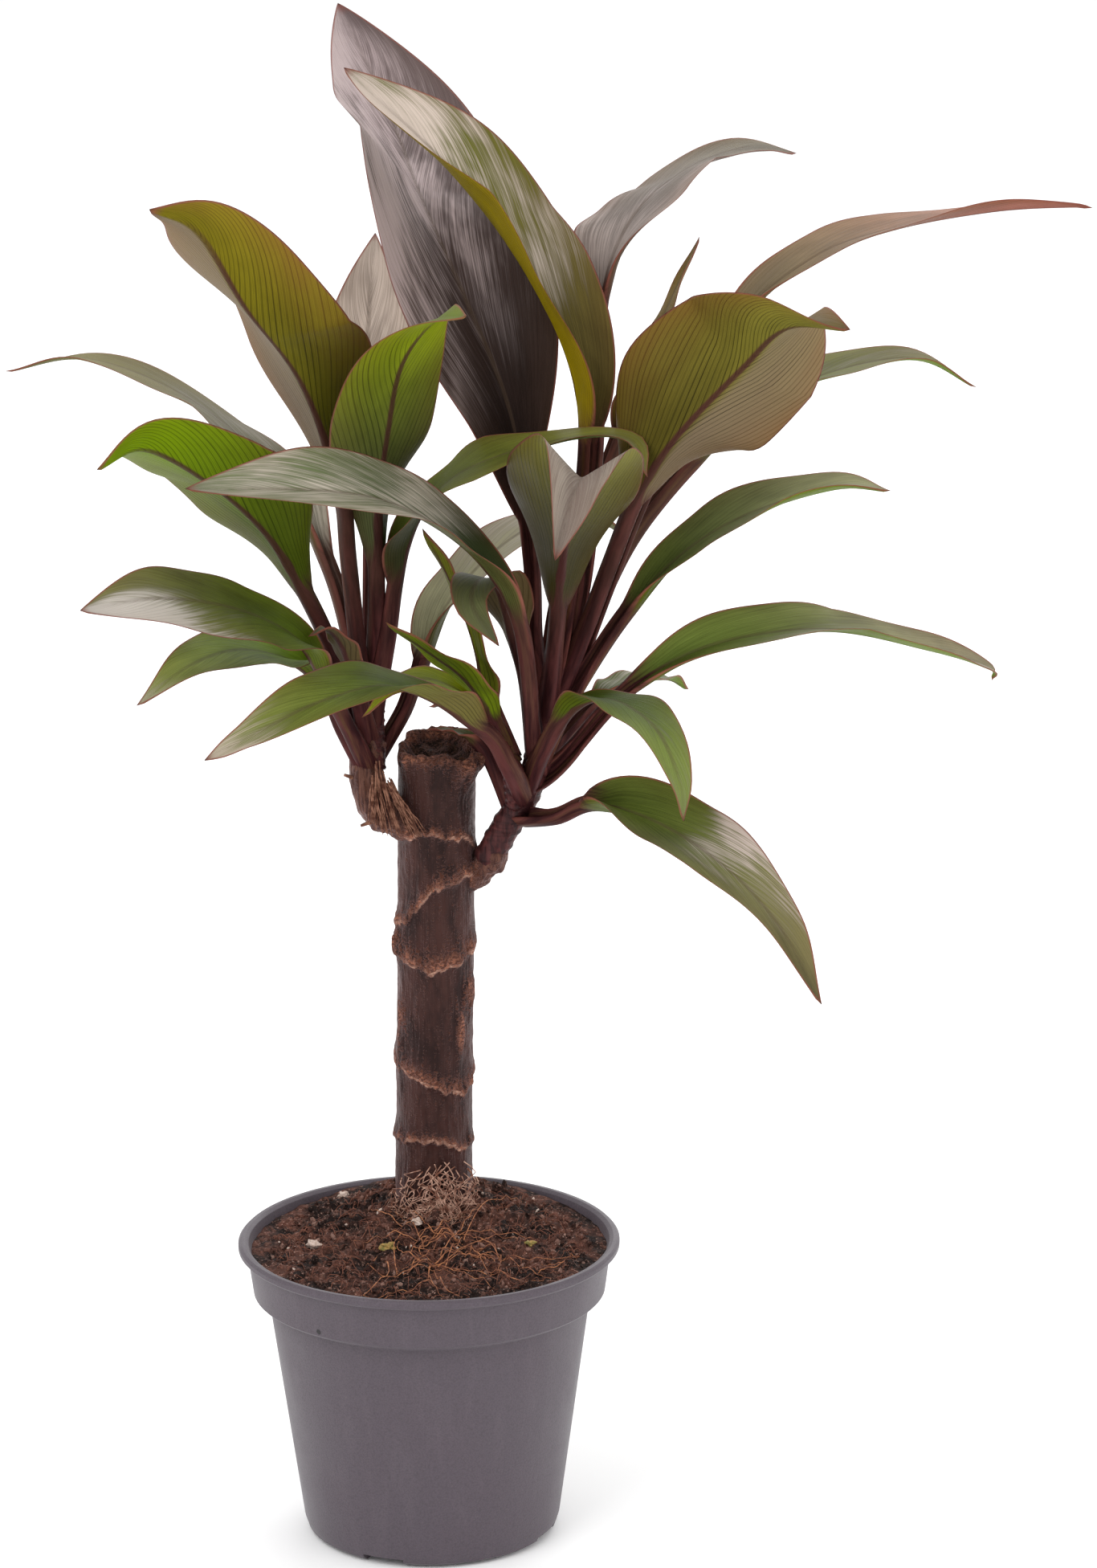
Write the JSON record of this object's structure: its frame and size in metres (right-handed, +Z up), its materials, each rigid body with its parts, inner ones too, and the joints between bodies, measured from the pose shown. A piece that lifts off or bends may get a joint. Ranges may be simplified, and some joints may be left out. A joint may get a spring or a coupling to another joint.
{
  "type": "potted ti plant",
  "caption": "Ti plant with broad pointed leaves on leafy side shoots of a cut cane, standing in soil in a round nursery pot.",
  "frame": {"origin": "on the table under the middle of the pot", "axes": "+Z up; -Y is the side that faces the viewer, +X is the viewer's right"},
  "size_m": [0.3471, 0.2927, 0.4583],
  "materials": {
    "pot_plastic": "matte moulded plastic with a fine grain, mid grey with a faint purple tint",
    "potting_soil": "moist peat and bark crumbs with pale root fibres and white grit",
    "cane_bark": "dull dark brown bark with rusty raised leaf scars",
    "shoot_skin": "smooth dark maroon skin, brown and dry at the foot",
    "leaf_blade": "satin leaf, dark green to purple above with a silver sheen, olive green below, red margins"
  },
  "bodies": {
    "root": {"pot": "pot_plastic", "soil": "potting_soil", "cane": "cane_bark", "left_shoot": "shoot_skin", "right_shoot": "shoot_skin", "left_leaf_01": "leaf_blade", "left_leaf_02": "leaf_blade", "left_leaf_03": "leaf_blade", "left_leaf_04": "leaf_blade", "left_leaf_05": "leaf_blade", "left_leaf_06": "leaf_blade", "left_leaf_07": "leaf_blade", "left_leaf_08": "leaf_blade", "left_leaf_09": "leaf_blade", "left_leaf_10": "leaf_blade", "right_leaf_01": "leaf_blade", "right_leaf_02": "leaf_blade", "right_leaf_03": "leaf_blade", "right_leaf_04": "leaf_blade", "right_leaf_05": "leaf_blade", "right_leaf_06": "leaf_blade", "right_leaf_07": "leaf_blade", "right_leaf_08": "leaf_blade", "right_leaf_09": "leaf_blade", "right_leaf_10": "leaf_blade", "right_leaf_11": "leaf_blade", "right_leaf_12": "leaf_blade", "right_leaf_13": "leaf_blade", "right_leaf_14": "leaf_blade", "right_leaf_15": "leaf_blade", "right_leaf_16": "leaf_blade", "right_leaf_17": "leaf_blade", "right_leaf_18": "leaf_blade", "bud_leaf_01": "leaf_blade", "bud_leaf_02": "leaf_blade", "bud_leaf_03": "leaf_blade"}
  },
  "joints": []
}
